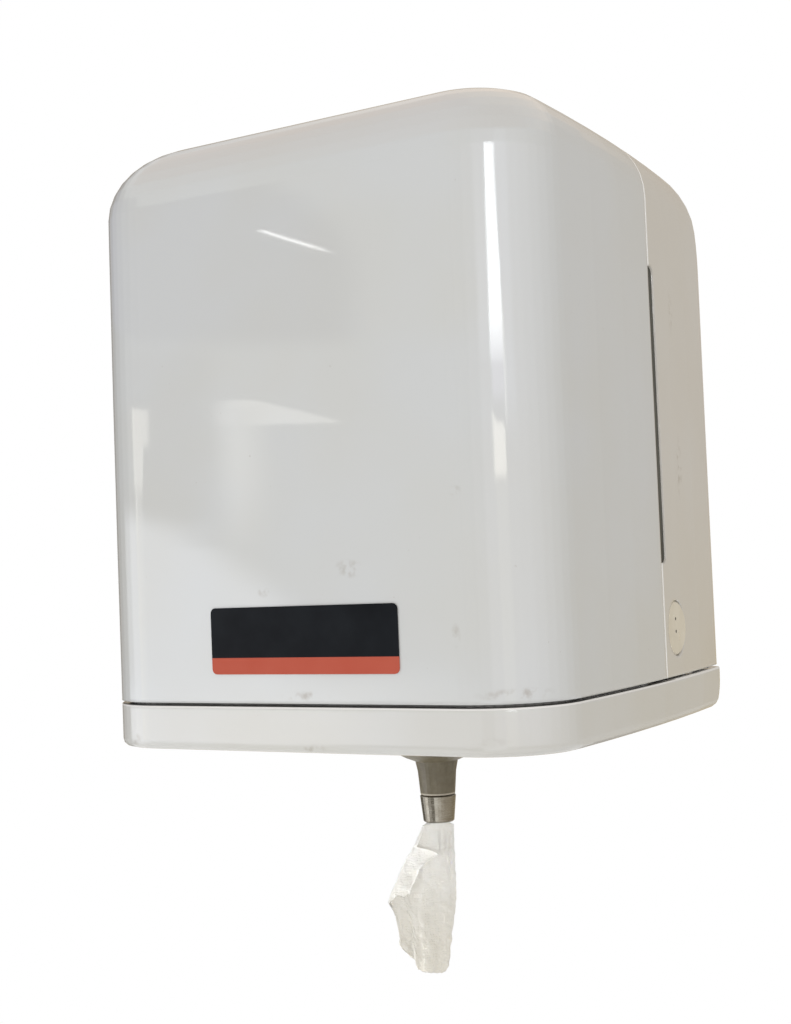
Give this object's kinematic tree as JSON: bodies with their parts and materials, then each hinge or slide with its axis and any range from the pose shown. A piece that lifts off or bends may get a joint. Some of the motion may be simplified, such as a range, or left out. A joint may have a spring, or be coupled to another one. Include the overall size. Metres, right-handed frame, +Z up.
{
  "type": "centre-feed paper towel dispenser",
  "caption": "Wall-mounted centre-feed paper towel dispenser: hinged gloss cover over a rear casing, base tray with flared outlet and metal ring, side push-button locks, and a paper roll.",
  "frame": {"origin": "on the flat back of the rear casing, where it meets the wall, on the casing's middle line and 125 mm above the seam between cover and tray", "axes": "+X to the right of someone facing the front, +Y into the wall, +Z up"},
  "size_m": [0.245, 0.2549, 0.4165],
  "materials": {
    "cover_white": "gloss moulded ABS",
    "casing_white": "gloss moulded ABS",
    "tray_white": "gloss moulded ABS",
    "smoked_strip": "smoked polycarbonate",
    "button_cream": "satin moulded ABS",
    "outlet_moulding": "satin moulded polypropylene",
    "turned_steel": "turned stainless steel",
    "natural_nylon": "moulded acetal",
    "spring_wire": "drawn spring wire",
    "zinc": "zinc-plated steel",
    "label_film": "satin printed film",
    "tissue": "creped tissue"
  },
  "bodies": {
    "housing": {"rear_casing": "casing_white", "base_tray": "tray_white", "outlet_flare": "outlet_moulding", "outlet_ring": "turned_steel", "level_window_right": "smoked_strip", "level_window_left": "smoked_strip", "hinge_pin_right": "zinc", "hinge_pin_left": "zinc", "well_cap_right": "natural_nylon", "well_cap_left": "natural_nylon", "latch_spring_right": "spring_wire", "latch_spring_left": "spring_wire", "tray_screw_right_rear": "zinc", "tray_screw_right_front": "zinc", "tray_screw_left_rear": "zinc", "tray_screw_left_front": "zinc", "paper_roll": "tissue", "paper_feed": "tissue", "paper_tail": "tissue"},
    "cover": {"front_cover": "cover_white", "front_label": "label_film", "catch_arm_right": "natural_nylon", "catch_arm_left": "natural_nylon"},
    "lock_right": {"push_button_right": "button_cream", "latch_hook_right": "natural_nylon"},
    "lock_left": {"push_button_left": "button_cream", "latch_hook_left": "natural_nylon"}
  },
  "joints": [
    {"name": "cover_hinge", "type": "hinge", "parent": "housing", "child": "cover", "pos_m": [0, -0.0825, 0.1418], "axis": [-1, 0, 0], "range_deg": [0, 100], "deforming": ["catch_arm_right", "catch_arm_left"]},
    {"name": "button_right_slide", "type": "slide", "parent": "housing", "child": "lock_right", "axis": [-1, 0, 0], "range_m": [0, 0.0045], "stiffness_N_per_m": 400, "springref_m": -0.003, "deforming": ["latch_spring_right"]},
    {"name": "button_left_slide", "type": "slide", "parent": "housing", "child": "lock_left", "axis": [1, 0, 0], "range_m": [0, 0.0045], "stiffness_N_per_m": 400, "springref_m": -0.003, "deforming": ["latch_spring_left"]}
  ]
}
